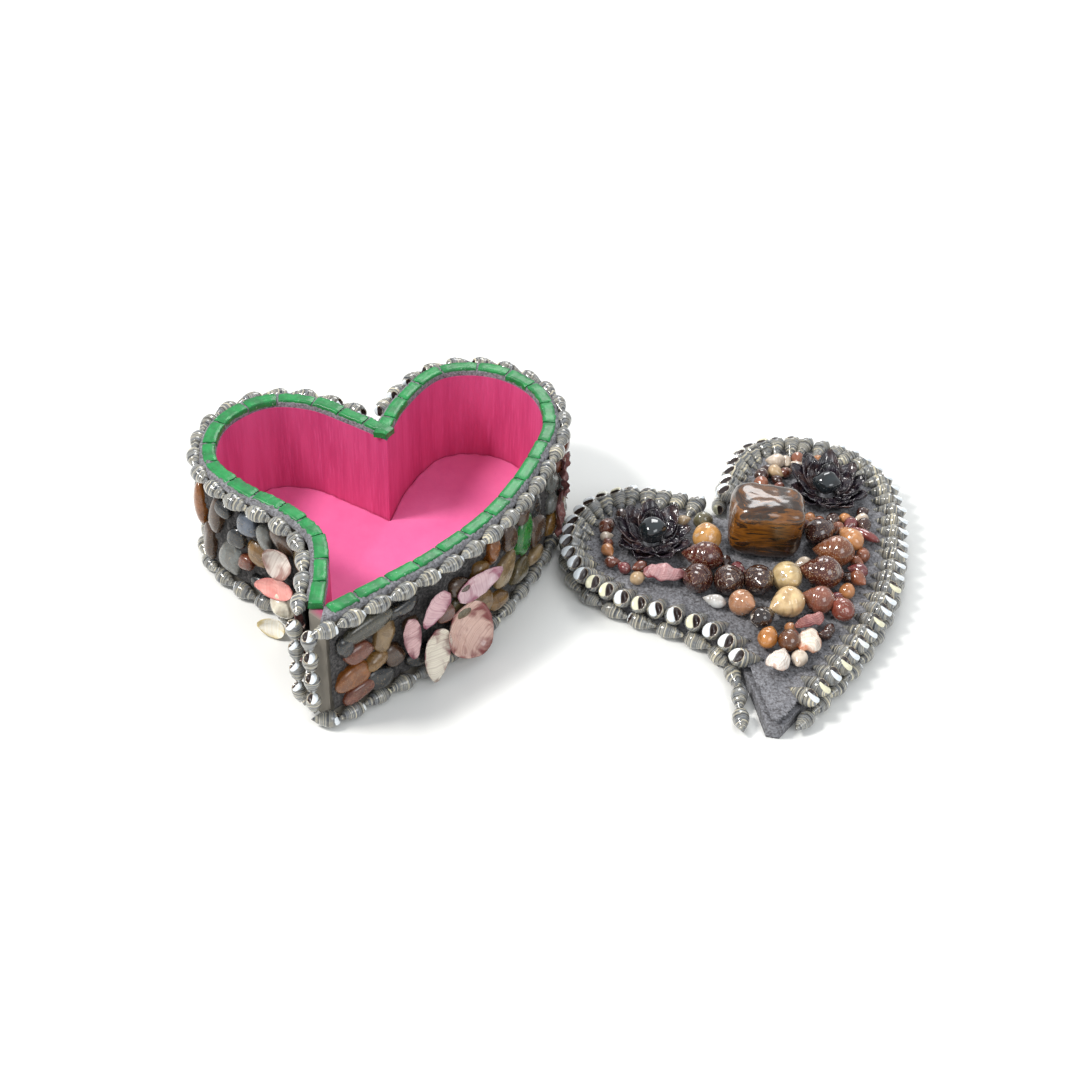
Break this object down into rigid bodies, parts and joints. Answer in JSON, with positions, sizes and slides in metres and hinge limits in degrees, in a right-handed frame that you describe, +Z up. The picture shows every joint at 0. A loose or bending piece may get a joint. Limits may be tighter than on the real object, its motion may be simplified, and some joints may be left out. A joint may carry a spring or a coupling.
{
  "type": "shell box",
  "caption": "Heart-shaped trinket box with walls of pebble mosaic, a green tiled rim and rows of banded shells, and its loose shell-covered lid lying beside it.",
  "frame": {"origin": "centre of the bounding box of box and lid together, on the surface they stand on", "axes": "+X from the box to the lid, +Y towards the notch of the heart, +Z up"},
  "size_m": [0.307, 0.1912, 0.054],
  "materials": {
    "pink_wood": "satin pink paint",
    "floor_card": "matt pink paper",
    "green_tile": "glossy",
    "banded_shell": "glossy",
    "pebble_mosaic": "polished",
    "grout": "rough",
    "purple_shell": "glossy",
    "pale_shell": "glossy",
    "pink_shell": "satin",
    "dark_petal": "glossy",
    "black_stone": "polished",
    "tiger_eye": "polished",
    "brown_shell": "glossy",
    "spotted_shell": "glossy",
    "orange_shell": "glossy"
  },
  "bodies": {
    "root": {"box_body": "pink_wood", "floor_lining": "floor_card", "rim_tiles": "green_tile", "rim_shells_right": "banded_shell", "rim_shells_left": "banded_shell", "base_shells_right": "banded_shell", "base_shells_left": "banded_shell", "corner_shells_right": "banded_shell", "corner_shells_left": "banded_shell", "mosaic_right": "pebble_mosaic", "mosaic_left": "pebble_mosaic", "spray_long_petal": "purple_shell", "spray_upper_petal": "purple_shell", "spray_lower_petal": "purple_shell", "spray_oval_shell": "pale_shell", "spray_cup_shell": "pale_shell", "spray_centre_stone": "brown_shell", "left_open_shell": "pale_shell", "left_pink_shell": "pink_shell", "left_moon_snail": "pale_shell", "left_pointed_shell": "pale_shell", "small_shells_left": "purple_shell", "small_shells_right": "purple_shell", "lid_board": "grout", "lid_grout": "grout", "lid_edge_shells_right": "banded_shell", "lid_edge_shells_left": "banded_shell", "lid_crown_shells_right": "banded_shell", "lid_crown_shells_left": "banded_shell", "tiger_eye_stone": "tiger_eye", "petal_flower_left": "dark_petal", "petal_flower_right": "dark_petal", "flower_pebble_left": "black_stone", "flower_pebble_right": "black_stone", "lid_orange_snail": "orange_shell", "lid_olive_snail": "banded_shell", "lid_dark_cowrie": "brown_shell", "lid_dark_spire_left": "brown_shell", "lid_dark_spire_middle": "brown_shell", "lid_dark_spire_right": "brown_shell", "lid_spotted_cone": "spotted_shell", "lid_mottled_cowrie_front": "brown_shell", "lid_mottled_cowrie_middle": "brown_shell", "lid_mottled_cowrie_back": "brown_shell", "lid_orange_cone": "orange_shell", "lid_purple_sliver": "purple_shell", "lid_red_limpet": "purple_shell", "lid_white_bubble": "pale_shell", "lid_brown_snail": "orange_shell", "lid_speckled_snail": "spotted_shell", "lid_cream_whelk": "pale_shell", "lid_red_whelk": "brown_shell", "lid_white_flecked_cone": "spotted_shell", "lid_red_shard": "purple_shell", "lid_orange_bubble": "orange_shell", "lid_glossy_snail": "brown_shell", "lid_ribbed_cockle": "pale_shell", "lid_white_disc": "pale_shell"}
  },
  "joints": []
}
